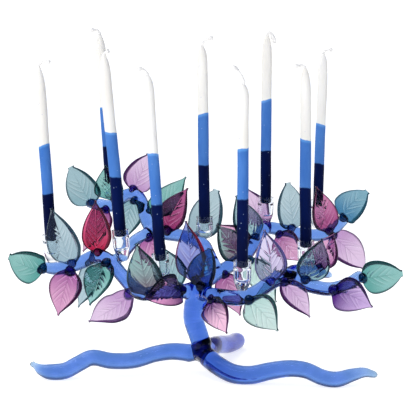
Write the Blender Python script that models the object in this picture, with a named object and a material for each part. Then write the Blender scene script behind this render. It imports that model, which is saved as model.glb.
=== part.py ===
"""A nine-light menorah of lamp-worked glass: a tree of blue glass on three roots, hung with
coloured glass leaves, with nine clear glass cups that each hold a hand-dipped candle.

Written in millimetres and built in metres. +Z is up, the front faces -Y, and the origin is on the
ground under the middle of the tree. Every piece is one closed solid. Pieces that are fused in the
real thing stop about 0.3 mm short of each other here, so that none of them overlap.
"""

import math

import bmesh
import bpy
from mathutils import Vector

MM = 0.001

TUBE_SIDES = 12
STEPS_PER_SPAN = 2
FOOT_GRIND = 0.9

CUP_OUTER_RADIUS = 7.1
CUP_BORE_RADIUS = 5.7
CUP_WELL_RADIUS = 4.4
CUP_BODY_HEIGHT = 20.5
CUP_SEAT_DEPTH = 6.4
CUP_SIDES = 16

CANDLE_SINK = 6.0
CANDLE_SIDES = 12
WICK_RADIUS = 1.4
WICK_LUMP = 2.1

LEAF_RING = 8
LEAF_THICKNESS = 1.7
STEM_RADIUS = 2.1
STEM_LENGTH = 3.4

BLUE = (0.10, 0.22, 0.72, 1.0)
CLEAR = (0.90, 0.93, 0.96, 1.0)
GREEN = (0.20, 0.50, 0.42, 1.0)
TEAL = (0.30, 0.50, 0.52, 1.0)
PINK = (0.58, 0.26, 0.44, 1.0)
LILAC = (0.52, 0.36, 0.58, 1.0)
PURPLE = (0.20, 0.07, 0.28, 1.0)
RED = (0.42, 0.03, 0.12, 1.0)
WAX_BLUE = (0.08, 0.22, 0.66, 1.0)

# Each tube of the tree is a route of points (x, y, z) with the glass radius at that point.
TUBES = {
    "trunk": [
        ((1, -41, 24), 7.6),
        ((-2, -39, 33), 8.0),
        ((-6, -38, 46), 8.1),
        ((-5, -40, 60), 8.1),
        ((-2, -41, 70), 7.6),
        ((-1, -41, 78), 6.0),
    ],
    "left_root": [
        ((-7, -33, 15.5), 7.2),
        ((-23, -37, 18), 6.9),
        ((-38, -42, 17), 6.6),
        ((-55, -47, 13), 6.5),
        ((-73, -51, 13.5), 6.5),
        ((-88, -54, 17), 6.4),
        ((-99, -56, 12.5), 6.5),
        ((-110, -58, 7), 6.6),
        ((-121, -58, 6), 6.4),
        ((-129, -54.5, 6.6), 4.8),
        ((-133.5, -51, 8.2), 3.2),
        ((-136, -49.5, 9.4), 2.2),
        ((-137.6, -48.7, 10), 2.7),
        ((-138.6, -48.5, 10.2), 1.8),
    ],
    "right_root": [
        ((5.5, -47, 15.5), 7.7),
        ((14, -59, 11.5), 7.7),
        ((26, -69, 7.6), 7.6),
        ((40, -72, 7.0), 7.3),
        ((56, -74, 11), 6.9),
        ((71, -76, 13.5), 6.6),
        ((84, -78, 12.5), 6.4),
        ((97, -80, 7.2), 6.3),
        ((108, -81, 5.8), 6.2),
        ((120, -78, 8.5), 5.2),
        ((130, -75, 10), 4.0),
        ((136, -74, 8.8), 3.1),
        ((139, -74, 8), 2.7),
    ],
    "back_root": [
        ((5, -28, 16.5), 7.0),
        ((10, -14, 17), 7.6),
        ((16, 5, 14), 7.8),
        ((24, 26, 9.5), 7.8),
        ((31, 46, 7.4), 7.6),
        ((33.5, 52, 7.4), 6.2),
        ((35, 55.5, 7.6), 3.0),
    ],
    "front_left_branch": [
        ((-11.5, -43.5, 70), 5.6),
        ((-24, -48, 70), 5.6),
        ((-37, -48, 69.5), 5.6),
        ((-48, -44, 68), 5.7),
        ((-56, -35, 71), 5.7),
        ((-65, -23, 78.5), 5.7),
        ((-75, -9, 87), 5.8),
        ((-84, -2, 92), 5.8),
        ((-92, 3, 91), 5.8),
        ((-104, 7, 85), 5.6),
        ((-117, 11, 80), 5.5),
        ((-129, 14, 79), 5.2),
        ((-136, 16, 80), 4.2),
    ],
    "back_left_branch": [
        ((9.5, -21, 91), 5.0),
        ((6, -11, 97), 5.3),
        ((1, 1, 102.5), 5.4),
        ((-15, 14, 107), 5.5),
        ((-31, 24, 108), 5.5),
        ((-43, 31, 111), 5.5),
        ((-49, 39, 120), 5.5),
        ((-52, 48, 131), 5.5),
        ((-58, 58, 138), 5.5),
        ((-68, 66, 137), 5.5),
        ((-81, 72, 127), 5.4),
        ((-92, 74, 127.5), 5.3),
        ((-101, 74, 129), 4.4),
    ],
    "link_branch": [
        ((-67, 0, 91), 3.8),
        ((-63, 7, 97), 4.6),
        ((-58, 14, 102.5), 4.8),
        ((-52, 20, 106), 4.8),
        ((-48.5, 23.5, 107.5), 4.4),
    ],
    "back_right_branch": [
        ((8, -32, 78.5), 5.6),
        ((15, -23, 82), 5.7),
        ((27, -6, 86), 5.7),
        ((39, 14, 91), 5.7),
        ((46, 32, 98), 5.6),
        ((52, 48, 105), 5.6),
        ((60, 60, 108), 5.6),
        ((76, 66, 105), 5.5),
        ((90, 72, 101), 5.5),
        ((103, 77, 99), 5.5),
        ((116, 78, 101), 5.4),
        ((125, 74, 109), 5.0),
        ((130, 72, 114), 4.2),
    ],
    "front_right_branch": [
        ((3.5, -50.2, 70), 5.7),
        ((9, -60, 70), 5.8),
        ((18, -72, 71), 5.9),
        ((31, -78, 71), 5.9),
        ((44, -72, 74), 5.9),
        ((56, -62, 80), 5.9),
        ((67, -54, 84), 6.0),
        ((78, -52, 81), 5.8),
        ((90, -54, 76), 5.6),
        ((105, -56, 74), 5.4),
        ((119, -56, 78), 5.2),
        ((128, -54, 84), 4.4),
    ],
    "right_side_branch": [
        ((72, -44, 85), 4.6),
        ((77, -34, 85), 5.2),
        ((87, -17, 82), 5.2),
        ((99, -2, 78.5), 4.6),
        ((108, 8, 75), 3.4),
        ((112, 13, 73), 2.0),
    ],
}

# Each light: rim centre of its cup, the cup's height, the lean of cup and candle in degrees (to the
# right, to the back), the candle's length above the rim, how much of that is drawn thin, and radius.
LIGHTS = {
    "far_left": ((-130, 15, 109), 24.0, (-3.2, 0.4), 143, 30, 5.0),
    "back_left": ((-83, 74, 153), 18.0, (-3.6, 0.8), 128, 20, 4.9),
    "mid_left": ((-68, -11, 116.5), 26.2, (-4.8, 0.5), 146, 22, 5.1),
    "front_left": ((-33, -48, 102), 26.5, (-3.6, -0.6), 144, 17, 4.7),
    "middle": ((3, 2, 126), 17.0, (-0.8, 0.2), 143, 15, 4.8),
    "front_right": ((33, -79, 101.5), 23.2, (0.2, -0.4), 137, 11, 4.6),
    "back_right": ((58, 64, 136), 20.5, (0.2, 0.4), 144, 22, 4.9),
    "mid_right": ((88, -16, 108), 20.0, (-0.8, -0.2), 143, 22, 4.9),
    "far_right": ((107, 83.5, 131), 25.0, (1.5, 0.6), 133, 19, 4.7),
}

# How each waxed wick bends over, measured from the top of its candle.
WICK_CURLS = {
    "far_left": ((0.5, 0, 2), (3, 0, 4), (7, -1, 4.5), (10.5, -1, 3.5)),
    "back_left": ((-0.5, 0, 2), (-2, 0, 4), (-5, -1, 4.5), (-8, -1, 5)),
    "mid_left": ((0.5, 0, 1), (2.5, 0, 2.5), (4.5, -1, 3)),
    "front_left": ((-0.5, 0, 1.5), (-2.5, 0, 4), (-5.5, -1, 5.5), (-8, -1, 4)),
    "middle": ((0.3, 0, 2), (2, 0, 4.5), (5.5, -1, 6.5), (9.5, -1, 7.5)),
    "front_right": ((0, 0, 3), (-1.5, 0, 6.5), (-5, -1, 11), (-9.5, -1, 14.5)),
    "back_right": ((0.5, 0, 1.5), (2.5, 0, 2.5), (5, -1, -1), (7, -1, -7)),
    "mid_right": ((-0.8, 0, 1.5), (-3, 0, 2.5), (-6, -1, 2), (-9.5, -1, 2)),
    "far_right": ((0.5, 0, 1.5), (2.5, 0, 3.2), (5.5, -1, 3.6), (8, -2, 4)),
}

# Each leaf: base of its stem, tip, half width of the blade, the way its face looks, and its glass.
LEAVES = {
    "left_end_green": ((-139, 9, 78.5), (-164, -6, 93), 14, (0.3, -1, 0.3), GREEN),
    "left_cup_teal": ((-112, 1.4, 87), (-126, -10, 135), 14, (-0.1, -1, 0.1), TEAL),
    "left_red": ((-88, -5.5, 98), (-88, -14, 142), 12.5, (0.1, -1, 0.1), RED),
    "left_low_pink": ((-112, 3, 76), (-122, -6, 41), 14.5, (0, -1, -0.2), PINK),
    "left_low_green": ((-82, -14, 88), (-91, -37, 55), 13, (-0.3, -1, -0.2), GREEN),
    "left_low_lilac": ((-62, -35, 61), (-95, -8, 38), 13.5, (0.4, -1, 0.1), LILAC),
    "back_end_teal": ((-100, 66.5, 131), (-117, 58, 164), 14.5, (-0.1, -1, 0.2), TEAL),
    "back_green": ((-82, 61, 135), (-85, 50, 166), 13, (0, -1, 0.3), GREEN),
    "back_top_pink": ((-61, 60, 145), (-46, 56, 175), 14, (-0.1, -1, 0), PINK),
    "back_hanging_teal": ((-62, 51, 133), (-67, 42, 100), 13.5, (0.1, -1, 0), TEAL),
    "back_up_green": ((-43, 43, 125), (-13, 46, 156), 12, (0, -1, 0.1), GREEN),
    "back_up_magenta": ((-30, 17, 114), (-11, 10, 150), 12.5, (0.2, -1, 0.1), PINK),
    "middle_teal": ((0, 14, 110), (14, 24, 147), 14.5, (0.1, -1, 0), TEAL),
    "front_clear_green": ((-42, -54, 69), (-51, -64, 113), 14.5, (0, -1, 0), TEAL),
    "crown_violet": ((-7.5, -50, 82), (-12, -47, 129), 12.5, (0, -1, 0.1), LILAC),
    "crown_deep_teal": ((-1, -53, 79.5), (8, -72, 110), 11.5, (0, -1, 0.1), TEAL),
    "front_purple": ((-12.5, -56.5, 75.5), (-47, -70, 68), 13, (0, -1, 0.15), PURPLE),
    "inner_mint": ((33, -9, 92), (13, -20, 122), 13, (0, -1, 0.1), GREEN),
    "right_grey_green": ((48, 31, 106), (30, 24, 142), 12.5, (0, -1, 0.2), TEAL),
    "right_tall_teal": ((83, 62, 110), (77, 56, 150), 13, (0, -1, 0.1), TEAL),
    "right_back_pink": ((115, 70, 104), (103, 62, 146), 12, (0, -1, 0.1), PINK),
    "right_end_green": ((127.5, 67, 119), (149, 56, 142), 14, (0.2, -1, 0.2), GREEN),
    "right_hanging_lilac": ((121, 72, 96.5), (149, 70, 70), 14, (0, -1, 0), LILAC),
    "right_front_green": ((85, -59, 84), (98, -58, 116), 13, (0, -1, 0.1), GREEN),
    "right_front_pink": ((101, -2, 84.5), (113, -6, 113), 13, (0.1, -1, 0), PINK),
    "right_behind_pink": ((70, 60, 101), (90, 42, 80), 13, (0, -1, 0.1), PINK),
    "right_clear_violet": ((57, -70, 84.5), (50, -80, 126), 13, (0, -1, 0.1), CLEAR),
    "crown_low_pink": ((6, -70.8, 66.3), (22, -84, 43), 11.5, (0, -1, -0.2), PINK),
    "right_low_mint": ((39.5, -84, 69), (61, -92, 47), 14, (0, -1, -0.1), GREEN),
    "right_low_pink": ((69, -62, 79), (88, -68, 53), 10, (0, -1, -0.1), LILAC),
    "right_low_purple": ((107, -64, 74), (138, -70, 62), 14.5, (0, -1, -0.1), PURPLE),
    "right_tip_green": ((132, -56, 82.5), (163, -60, 88), 13.5, (0, -1, 0.1), GREEN),
}


def clear_scene():
    for thing in list(bpy.data.objects):
        bpy.data.objects.remove(thing, do_unlink=True)
    for mesh in list(bpy.data.meshes):
        bpy.data.meshes.remove(mesh)


def make_material(name, colour, roughness, transmission):
    material = bpy.data.materials.new(name)
    material.use_nodes = True
    shader = material.node_tree.nodes["Principled BSDF"]
    shader.inputs["Base Color"].default_value = colour
    shader.inputs["Roughness"].default_value = roughness
    shader.inputs["Transmission Weight"].default_value = transmission
    shader.inputs["IOR"].default_value = 1.47
    return material


def glass(name, colour):
    return make_material(name, colour, 0.03, 1.0)


def wax(name, colour):
    return make_material(name, colour, 0.45, 0.0)


def make_object(name, vertices, faces, material, parent, place):
    """One closed solid from vertices in millimetres, set at place (mm) under its parent."""
    mesh = bpy.data.meshes.new(name)
    mesh.from_pydata([Vector(v) * MM for v in vertices], [], faces)
    work = bmesh.new()
    work.from_mesh(mesh)
    bmesh.ops.recalc_face_normals(work, faces=work.faces)
    bmesh.ops.triangulate(work, faces=work.faces)
    work.to_mesh(mesh)
    work.free()
    mesh.materials.append(material)
    thing = bpy.data.objects.new(name, mesh)
    bpy.context.scene.collection.objects.link(thing)
    thing.parent = parent
    thing.location = Vector(place) * MM
    return thing


def make_empty(name, parent, place):
    empty = bpy.data.objects.new(name, None)
    bpy.context.scene.collection.objects.link(empty)
    empty.parent = parent
    empty.location = Vector(place) * MM
    return empty


def smooth_route(points, radii, steps):
    """Points along a smooth curve through the route, with the radius carried between them."""
    route = [Vector(p) for p in points]
    padded = [2 * route[0] - route[1]] + route + [2 * route[-1] - route[-2]]
    places = []
    sizes = []
    for i in range(len(route) - 1):
        a, b, c, d = padded[i:i + 4]
        for step in range(steps):
            t = step / steps
            curve = 2 * b + (c - a) * t
            curve += (2 * a - 5 * b + 4 * c - d) * t * t
            curve += (3 * b - a - 3 * c + d) * t ** 3
            places.append(curve / 2)
            sizes.append(radii[i] + (radii[i + 1] - radii[i]) * t)
    places.append(route[-1])
    sizes.append(radii[-1])
    return places, sizes


def rings_along(places, sizes, sides):
    """Circles of vertices square to the path, turned as little as possible from one to the next."""
    vertices = []
    side = None
    for i, place in enumerate(places):
        before = places[max(i - 1, 0)]
        after = places[min(i + 1, len(places) - 1)]
        along = (after - before).normalized()
        if side is None:
            side = along.orthogonal().normalized()
        side = (side - along * side.dot(along)).normalized()
        other = along.cross(side)
        for k in range(sides):
            angle = 2 * math.pi * k / sides
            vertices.append(place + sizes[i] * (math.cos(angle) * side + math.sin(angle) * other))
    return vertices


def skin_rings(ring_count, sides):
    """Faces that join rings of vertices into one closed skin with a flat cap at each end."""
    faces = []
    for i in range(ring_count - 1):
        for k in range(sides):
            a = i * sides + k
            b = i * sides + (k + 1) % sides
            faces.append((a, b, b + sides, a + sides))
    faces.append(tuple(reversed(range(sides))))
    faces.append(tuple(range((ring_count - 1) * sides, ring_count * sides)))
    return faces


def add_tube(name, route, material, parent):
    """A glass tube. Where it comes within FOOT_GRIND of the ground it is flattened into a foot."""
    places, sizes = smooth_route([p for p, _ in route], [r for _, r in route], STEPS_PER_SPAN)
    vertices = rings_along(places, sizes, TUBE_SIDES)
    for vertex in vertices:
        if vertex.z < FOOT_GRIND:
            vertex.z = 0.0
    faces = skin_rings(len(places), TUBE_SIDES)
    return make_object(name, vertices, faces, material, parent, (0, 0, 0))


def add_turned(name, profile, sides, material, parent):
    """A solid of revolution about Z. The profile starts and ends on the axis."""
    vertices = [(0, 0, profile[0][1])]
    for radius, height in profile[1:-1]:
        for k in range(sides):
            angle = 2 * math.pi * k / sides
            vertices.append((radius * math.cos(angle), radius * math.sin(angle), height))
    vertices.append((0, 0, profile[-1][1]))
    last = len(vertices) - 1
    rows = len(profile) - 2
    faces = []
    for k in range(sides):
        following = (k + 1) % sides
        faces.append((0, 1 + following, 1 + k))
        start = 1 + (rows - 1) * sides
        faces.append((last, start + k, start + following))
        for row in range(rows - 1):
            a = 1 + row * sides + k
            b = 1 + row * sides + following
            faces.append((a, b, b + sides, a + sides))
    return make_object(name, vertices, faces, material, parent, (0, 0, 0))


def cup_profile(height):
    """Half section of a cup, rim at height 0: a thick round-bottomed tube with a narrower well.

    A cup taller than its body stands on a short solid foot.
    """
    floor = -min(height, CUP_BODY_HEIGHT)
    return [
        (0, -height),
        (3.6, -height),
        (4.2, floor + 0.6),
        (6.2, floor + 2.2),
        (CUP_OUTER_RADIUS, floor + 5.4),
        (CUP_OUTER_RADIUS, -0.6),
        (CUP_OUTER_RADIUS - 0.7, 0),
        (CUP_BORE_RADIUS, -0.6),
        (CUP_BORE_RADIUS, -CUP_SEAT_DEPTH),
        (CUP_WELL_RADIUS, -CUP_SEAT_DEPTH - 1.0),
        (CUP_WELL_RADIUS, floor + 5.0),
        (2.8, floor + 3.4),
        (0, floor + 3.0),
    ]


def add_candle(name, length, drawn, radius, curl, material, parent):
    """A dipped candle and its wick as one solid, standing on the cup's seat."""
    points = [Vector((0, 0, -CANDLE_SINK)), Vector((0, 0, 1.2 - CANDLE_SINK)), Vector((0, 0, length * 0.5))]
    radii = [radius - 1.4, radius, radius]
    shoulder = ((0.0, 1.0), (0.3, 0.97), (0.6, 0.84), (0.85, 0.56), (1.0, 0.32))
    for share, size in shoulder:
        points.append(Vector((0, 0, length - drawn * (1 - share))))
        radii.append(max(radius * size, WICK_RADIUS))
    for step in curl:
        points.append(Vector((0, 0, length)) + Vector(step))
        radii.append(WICK_RADIUS)
    radii[-1] = WICK_LUMP
    vertices = rings_along(points, radii, CANDLE_SIDES)
    faces = skin_rings(len(points), CANDLE_SIDES)
    return make_object(name, vertices, faces, material, parent, (0, 0, 0))


def leaf_stations(length, half_width):
    """(distance from the stem's end, half width, half thickness) along a leaf."""
    thin = LEAF_THICKNESS / 2
    blade = length - STEM_LENGTH
    return [
        (0.0, STEM_RADIUS * 0.7, STEM_RADIUS * 0.7),
        (1.4, STEM_RADIUS, STEM_RADIUS),
        (STEM_LENGTH, STEM_RADIUS * 0.9, STEM_RADIUS * 0.75),
        (STEM_LENGTH + 0.06 * blade, half_width * 0.52, thin),
        (STEM_LENGTH + 0.18 * blade, half_width * 0.87, thin),
        (STEM_LENGTH + 0.36 * blade, half_width, thin),
        (STEM_LENGTH + 0.56 * blade, half_width * 0.88, thin),
        (STEM_LENGTH + 0.76 * blade, half_width * 0.54, thin),
        (STEM_LENGTH + 0.92 * blade, half_width * 0.17, thin),
        (length, 0.7, 0.6),
    ]


def add_leaf(name, base, tip, half_width, facing, material, parent):
    """A flattened drop of glass, drawn out to a point, with a round stem where it joins the tree."""
    base = Vector(base)
    along = Vector(tip) - base
    length = along.length
    along.normalize()
    facing = Vector(facing)
    normal = (facing - along * facing.dot(along)).normalized()
    side = along.cross(normal)
    vertices = []
    for distance, wide, thick in leaf_stations(length, half_width):
        for k in range(LEAF_RING):
            angle = 2 * math.pi * k / LEAF_RING
            across = math.cos(angle) * wide
            dish = 1.8 * (across / half_width) ** 2
            lift = math.sin(angle) * thick + dish
            vertices.append(along * distance + side * across + normal * lift)
    faces = skin_rings(len(vertices) // LEAF_RING, LEAF_RING)
    return make_object(name, vertices, faces, material, parent, base)


def build_tree(root):
    blue = glass("blue_glass", BLUE)
    for name, route in TUBES.items():
        add_tube(name, route, blue.copy(), root)


def build_lights(root):
    for name, (rim, height, lean, length, drawn, radius) in LIGHTS.items():
        stand = make_empty("light_" + name, root, rim)
        stand.rotation_euler = (math.radians(-lean[1]), math.radians(lean[0]), 0)
        cup_glass = glass("cup_glass_" + name, CLEAR)
        add_turned("cup_" + name, cup_profile(height), CUP_SIDES, cup_glass, stand)
        candle_wax = wax("wax_" + name, WAX_BLUE)
        add_candle("candle_" + name, length, drawn, radius, WICK_CURLS[name], candle_wax, stand)


def build_leaves(root):
    for name, (base, tip, half_width, facing, colour) in LEAVES.items():
        leaf_glass = glass("glass_" + name, colour)
        add_leaf("leaf_" + name, base, tip, half_width, facing, leaf_glass, root)


def main():
    clear_scene()
    root = make_empty("menorah", None, (0, 0, 0))
    build_tree(root)
    build_lights(root)
    build_leaves(root)


main()
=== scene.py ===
import math
import random

import bmesh
import bpy
import numpy as np
from mathutils import Matrix, Vector, noise
from mathutils.bvhtree import BVHTree

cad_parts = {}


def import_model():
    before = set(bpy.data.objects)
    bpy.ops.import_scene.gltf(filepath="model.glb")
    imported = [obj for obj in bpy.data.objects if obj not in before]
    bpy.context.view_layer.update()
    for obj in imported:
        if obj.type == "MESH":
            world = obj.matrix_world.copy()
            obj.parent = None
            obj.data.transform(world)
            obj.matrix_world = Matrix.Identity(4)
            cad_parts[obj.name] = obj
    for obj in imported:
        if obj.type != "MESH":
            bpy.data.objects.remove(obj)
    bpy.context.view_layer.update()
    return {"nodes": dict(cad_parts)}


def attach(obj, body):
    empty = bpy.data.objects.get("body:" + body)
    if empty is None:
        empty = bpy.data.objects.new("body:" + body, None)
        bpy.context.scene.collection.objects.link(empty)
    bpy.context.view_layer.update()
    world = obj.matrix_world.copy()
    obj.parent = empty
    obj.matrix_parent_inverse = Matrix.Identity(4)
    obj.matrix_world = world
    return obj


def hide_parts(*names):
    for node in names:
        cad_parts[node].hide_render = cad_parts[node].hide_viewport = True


# The looks of a lamp-worked glass menorah: one fused tree of blue glass, coloured leaves with
# pressed veins, clear cups and hand-dipped candles. Lengths of the object are in millimetres.

MM = 0.001

# The blue rods, as the CAD part has them: places (x, y, z) along the middle of each, and its radius.
RODS = {
    "trunk": (
        (1, -41, 24, 7.6), (-2, -39, 33, 8), (-6, -38, 46, 8.1), (-5, -40, 60, 8.1), (-2, -41, 70, 7.6),
        (-1, -41, 78, 6),
    ),
    "left_root": (
        (-7, -33, 15.5, 7.2), (-23, -37, 18, 6.9), (-38, -42, 17, 6.6), (-55, -47, 13, 6.5),
        (-73, -51, 13.5, 6.5), (-88, -54, 17, 6.4), (-99, -56, 12.5, 6.5), (-110, -58, 7, 6.6),
        (-121, -58, 6, 6.4), (-129, -54.5, 6.6, 4.8), (-133.5, -51, 8.2, 3.2),
        (-136, -49.5, 9.4, 2.2), (-137.6, -48.7, 10, 2.7), (-138.6, -48.5, 10.2, 1.8),
    ),
    "right_root": (
        (5.5, -47, 15.5, 7.7), (14, -59, 11.5, 7.7), (26, -69, 7.6, 7.6), (40, -72, 7, 7.3),
        (56, -74, 11, 6.9), (71, -76, 13.5, 6.6), (84, -78, 12.5, 6.4), (97, -80, 7.2, 6.3),
        (108, -81, 5.8, 6.2), (120, -78, 8.5, 5.2), (130, -75, 10, 4), (136, -74, 8.8, 3.1),
        (139, -74, 8, 2.7),
    ),
    "back_root": (
        (5, -28, 16.5, 7), (10, -14, 17, 7.6), (16, 5, 14, 7.8), (24, 26, 9.5, 7.8), (31, 46, 7.4, 7.6),
        (33.5, 52, 7.4, 6.2), (35, 55.5, 7.6, 3),
    ),
    "front_left_branch": (
        (-11.5, -43.5, 70, 5.6), (-24, -48, 70, 5.6), (-37, -48, 69.5, 5.6), (-48, -44, 68, 5.7),
        (-56, -35, 71, 5.7), (-65, -23, 78.5, 5.7), (-75, -9, 87, 5.8), (-84, -2, 92, 5.8),
        (-92, 3, 91, 5.8), (-104, 7, 85, 5.6), (-117, 11, 80, 5.5), (-129, 14, 79, 5.2),
        (-136, 16, 80, 4.2),
    ),
    "back_left_branch": (
        (9.5, -21, 91, 5), (6, -11, 97, 5.3), (1, 1, 102.5, 5.4), (-15, 14, 107, 5.5),
        (-31, 24, 108, 5.5), (-43, 31, 111, 5.5), (-49, 39, 120, 5.5), (-52, 48, 131, 5.5),
        (-58, 58, 138, 5.5), (-68, 66, 137, 5.5), (-81, 72, 127, 5.4), (-92, 74, 127.5, 5.3),
        (-101, 74, 129, 4.4),
    ),
    "link_branch": (
        (-67, 0, 91, 3.8), (-63, 7, 97, 4.6), (-58, 14, 102.5, 4.8), (-52, 20, 106, 4.8),
        (-48.5, 23.5, 107.5, 4.4),
    ),
    "back_right_branch": (
        (8, -32, 78.5, 5.6), (15, -23, 82, 5.7), (27, -6, 86, 5.7), (39, 14, 91, 5.7),
        (46, 32, 98, 5.6), (52, 48, 105, 5.6), (60, 60, 108, 5.6), (76, 66, 105, 5.5),
        (90, 72, 101, 5.5), (103, 77, 99, 5.5), (116, 78, 101, 5.4), (125, 74, 109, 5),
        (130, 72, 114, 4.2),
    ),
    "front_right_branch": (
        (3.5, -50.2, 70, 5.7), (9, -60, 70, 5.8), (18, -72, 71, 5.9), (31, -78, 71, 5.9),
        (44, -72, 74, 5.9), (56, -62, 80, 5.9), (67, -54, 84, 6), (78, -52, 81, 5.8),
        (90, -54, 76, 5.6), (105, -56, 74, 5.4), (119, -56, 78, 5.2), (128, -54, 84, 4.4),
    ),
    "right_side_branch": (
        (72, -44, 85, 4.6), (77, -34, 85, 5.2), (87, -17, 82, 5.2), (99, -2, 78.5, 4.6),
        (108, 8, 75, 3.4), (112, 13, 73, 2),
    ),
}

# The rods are fused by remeshing them together with bridges of glass at each weld.
TREE_VOXEL = 0.74
TREE_SMOOTHING = 26
TREE_SWELL = 0.30
ROD_STEPS = 8
ROD_SIDES = 32
ROD_THINNEST = 1.5
# Each weld is a short bridge of glass: from a rod's end, to the middle of the rod it joins, radius.
WELDS = (
    ((-10, -33.8, 15.8), (0, -37, 19), 7.3),
    ((8, -51, 14.5), (1, -40, 19), 7.8),
    ((6, -26, 16.6), (1, -37, 19), 7.2),
    ((1, -41, 26), (1, -38, 17), 7.9),
    ((-1, -41, 60), (-1, -41, 75), 7.3),
    ((-14, -44.5, 70), (-3, -41.5, 71), 5.9),
    ((-9, -43, 70), (-3, -41.5, 70), 7.0),
    ((5, -53.5, 70), (-1.5, -42, 71.5), 6.0),
    ((2, -47, 70), (-1.5, -42, 70), 7.2),
    ((9.5, -30, 79.2), (-1, -41, 75), 6.0),
    ((9, -19.5, 91.6), (14, -25, 81.5), 5.5),
    ((-65.5, 2, 92), (-77, -6.5, 88.5), 4.5),
    ((-50, 22, 106.8), (-43, 30.5, 111), 4.8),
    ((73.5, -41, 85), (67.5, -53.5, 83.5), 5.0),
)

# Blue glass: tint of its surface in and between the streaks, the colour it lets through and the
# density per metre. The root that runs to the back gets painted shade, a darker blue coloured on its
# surface: from where and until where the shade grows towards the back, and how high up it reaches.
BLUE_STREAKS = ((0.58, 0.70, 0.66), (0.76, 0.84, 0.80))
BLUE_PAINTED_SHADE = (0.03, 0.18, 0.50)
BLUE_PASSES = (0.12, 0.40, 0.90)
BLUE_DENSITY = 170
PAINTED_SHADE_BETWEEN = (-8, 22)
PAINTED_SHADE_BELOW = 40
# How strongly, and in what tint, any glass mirrors what is straight in front of it.
GLASS_SHEEN = (0.22, 0.27, 0.40, 1.0)

# A cup: outer radius, bore above the candle's seat, narrower well below it, the seat's depth, and
# the height of the hollow body; any height beyond that is a solid foot.
CUP_SEGMENTS = 56
CUP_OUTER = 7.1
CUP_BORE = 5.7
CUP_WELL = 4.4
CUP_SEAT = 6.4
CUP_BODY = 20.5
CUP_INTO_BRANCH = 0.8
CUP_IOR = 1.47
CUP_CLOUDS = ((0.82, 0.85, 0.88), (0.92, 0.94, 0.96))

# A candle: how deep it sits below the rim, how each dip changes its radius, and its rounded foot.
CANDLE_SINK = 6.0
CANDLE_SEGMENTS = 40
CANDLE_RINGS = 140
DIPS_TOTAL = 0.16
NAVY_DIP = 0.10
WHITE_DIP = 0.08
FOOT_HEIGHT = 1.6
FOOT_CUT = 1.3
CANDLE_BEND = 0.7
# The drawn top: share of its length, share of the candle's radius.
DRAWN_NECK = ((0, 1.0), (0.25, 0.98), (0.5, 0.90), (0.75, 0.71), (0.9, 0.49), (1.0, 0.33))
WAX_COLOURS = {
    "navy": ((0.0003, 0.0030, 0.036), (0.0008, 0.0075, 0.070)),
    "blue": ((0.055, 0.180, 0.530), (0.085, 0.235, 0.600)),
    "fringe": ((0.10, 0.31, 0.69), (0.16, 0.38, 0.76)),
    "white": ((0.925, 0.885, 0.80), (0.985, 0.955, 0.885)),
}
SPECK_PALE = (0.40, 0.52, 0.74)
SPECK_BLUE = (0.16, 0.24, 0.55)
WICK_RADIUS = 1.3
WICK_SIDES = 16
WICK_LUMP = 0.75
WICK_COLOURS = ((0.86, 0.83, 0.78), (0.95, 0.93, 0.88))

# Leaf meshes: steps across a face, along the blade, round the rim and along the knob's back.
LEAF_ACROSS = 44
LEAF_ALONG = 96
LEAF_EDGE_STEPS = 6
KNOB_STEPS = 8
# Half thickness of the blade and of its two rims, and how far the blade dishes and ripples.
LEAF_HALF = 0.55
RIM_LIGHT = 0.7
RIM_HEAVY = 1.5
LEAF_DISH = 1.7
LEAF_RIPPLE = 0.45
# The knob: its radius, how far it sinks into the branch, how far it may be moved to reach the
# branch, how high up the blade that move fades out, and its front bulge as a share of a ball.
KNOB_RADIUS = 4.0
KNOB_LARGE = 4.7
KNOB_SINK = 0.8
KNOB_MOVE_MOST = 14
KNOB_MOVE_FADES = 7.0
KNOB_BULGE = 0.85
# Where the blade starts and stops, measured from the ends of the leaf in the CAD part.
BLADE_START = -3.0
TIP_SHORT = 0.6
VEIN_DEPTH = 0.42
VEIN_WIDTH = 0.42
# Each side vein's lowest start, gap to the next, slope, bow, strength and reach: least and spread.
VEIN_FIRST = (0.5, 3)
VEIN_GAP = (4.2, 2.4)
VEIN_SLOPE = (0.75, 0.5)
VEIN_BOW = (0.035, 0.04)
VEIN_STRENGTH = (0.3, 0.7)
VEIN_REACH = (0.45, 0.5)
# A leaf's outline: share of its length, share of its half width; the power that rounds it.
ROUNDING = 0.62
LEAF_OUTLINE = (
    (0.00, 0.22), (0.04, 0.46), (0.12, 0.76), (0.26, 0.97), (0.39, 1.0),
    (0.54, 0.89), (0.70, 0.64), (0.84, 0.33), (0.93, 0.13), (0.97, 0.075), (1.0, 0.085),
)

# Each light: rim centre of its cup, the cup's height, the lean of cup and candle in degrees (to the
# right, to the back), candle length above the rim, candle radius.
LIGHTS = {
    "far_left": ((-130, 15, 109), 24.0, (-3.2, 0.4), 143, 5.0),
    "back_left": ((-83, 74, 153), 18.0, (-3.6, 0.8), 128, 4.9),
    "mid_left": ((-68, -11, 116.5), 26.2, (-4.8, 0.5), 146, 5.1),
    "front_left": ((-33, -48, 102), 26.5, (-3.6, -0.6), 144, 4.7),
    "middle": ((3, 2, 126), 17.0, (-0.8, 0.2), 143, 4.8),
    "front_right": ((33, -79, 101.5), 23.2, (0.2, -0.4), 137, 4.6),
    "back_right": ((58, 64, 136), 20.5, (0.2, 0.4), 144, 4.9),
    "mid_right": ((88, -16, 108), 20.0, (-0.8, -0.2), 143, 4.9),
    "far_right": ((107, 83.5, 131), 25.0, (1.5, 0.6), 133, 4.7),
}

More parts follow.
